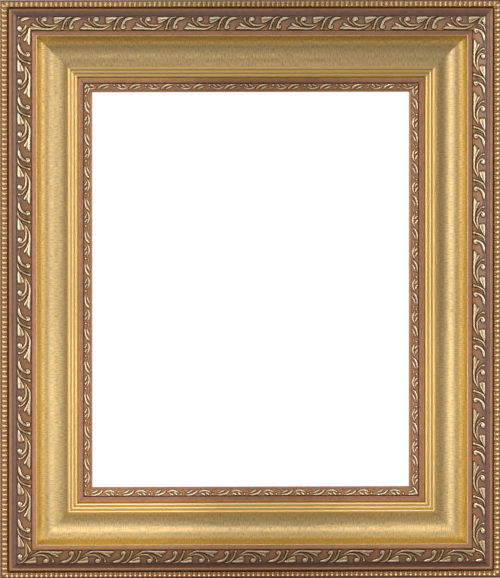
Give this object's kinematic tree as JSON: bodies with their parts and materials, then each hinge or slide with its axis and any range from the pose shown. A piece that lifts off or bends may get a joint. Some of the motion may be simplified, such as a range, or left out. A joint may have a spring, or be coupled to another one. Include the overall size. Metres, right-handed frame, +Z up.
{
  "type": "gilded picture frame",
  "caption": "Rectangular mitred frame of wide gilded moulding with ribbed edge, running scroll band, deep cove and small leaf sight edge, with turn buttons and hangers behind.",
  "frame": {"origin": "middle of the sight opening, on the plane of the moulding's wooden back", "axes": "+X to the right as seen from the front, +Z up, -Y to the front and +Y to the wall"},
  "size_m": [0.622, 0.05, 0.718],
  "materials": {
    "gilded_wood": "gold leaf over brown bole, brushed and toned",
    "gilded_slip": "toned brown gilding",
    "bead_composition": "gilded composition",
    "scroll_composition": "gilded composition with dark toning in the ground",
    "sight_composition": "gilded composition",
    "nail_steel": "bright",
    "button_steel": "zinc plated",
    "screw_brass": "plain",
    "hanger_plate": "nickel plated",
    "bumper_felt": "brown felt"
  },
  "bodies": {
    "frame": {"moulding_bottom": "gilded_wood", "moulding_right": "gilded_wood", "moulding_top": "gilded_wood", "moulding_left": "gilded_wood", "sight_slip_bottom": "gilded_slip", "sight_slip_right": "gilded_slip", "sight_slip_top": "gilded_slip", "sight_slip_left": "gilded_slip", "bead_band_bottom": "bead_composition", "bead_band_right": "bead_composition", "bead_band_top": "bead_composition", "bead_band_left": "bead_composition", "scroll_band_bottom": "scroll_composition", "scroll_band_right": "scroll_composition", "scroll_band_top": "scroll_composition", "scroll_band_left": "scroll_composition", "sight_ornament_bottom": "sight_composition", "sight_ornament_right": "sight_composition", "sight_ornament_top": "sight_composition", "sight_ornament_left": "sight_composition", "mitre_nails_bottom_left": "nail_steel", "mitre_nails_bottom_right": "nail_steel", "mitre_nails_top_left": "nail_steel", "mitre_nails_top_right": "nail_steel", "turn_button_screws": "screw_brass", "hanger_screws": "screw_brass", "hanger_strap_left": "hanger_plate", "hanger_strap_right": "hanger_plate", "wall_bumpers": "bumper_felt"},
    "turn_button_left_lower": {"turn_button_left_lower": "button_steel"},
    "turn_button_left_upper": {"turn_button_left_upper": "button_steel"},
    "turn_button_right_lower": {"turn_button_right_lower": "button_steel"},
    "turn_button_right_upper": {"turn_button_right_upper": "button_steel"},
    "hanger_ring_left": {"hanger_ring_left": "hanger_plate"},
    "hanger_ring_right": {"hanger_ring_right": "hanger_plate"}
  },
  "joints": [
    {"name": "left_lower_turn", "type": "hinge", "parent": "frame", "child": "turn_button_left_lower", "pos_m": [-0.212, 0.0008, -0.13], "axis": [0, 1, 0], "continuous": true},
    {"name": "left_upper_turn", "type": "hinge", "parent": "frame", "child": "turn_button_left_upper", "pos_m": [-0.212, 0.0008, 0.13], "axis": [0, 1, 0], "continuous": true},
    {"name": "right_lower_turn", "type": "hinge", "parent": "frame", "child": "turn_button_right_lower", "pos_m": [0.212, 0.0008, -0.13], "axis": [0, 1, 0], "continuous": true},
    {"name": "right_upper_turn", "type": "hinge", "parent": "frame", "child": "turn_button_right_upper", "pos_m": [0.212, 0.0008, 0.13], "axis": [0, 1, 0], "continuous": true},
    {"name": "hanger_ring_left_swing", "type": "hinge", "parent": "frame", "child": "hanger_ring_left", "pos_m": [-0.269, 0.0028, 0.15], "axis": [1, 0, 0], "range_deg": [0, 180]},
    {"name": "hanger_ring_right_swing", "type": "hinge", "parent": "frame", "child": "hanger_ring_right", "pos_m": [0.269, 0.0028, 0.15], "axis": [1, 0, 0], "range_deg": [0, 180]}
  ]
}
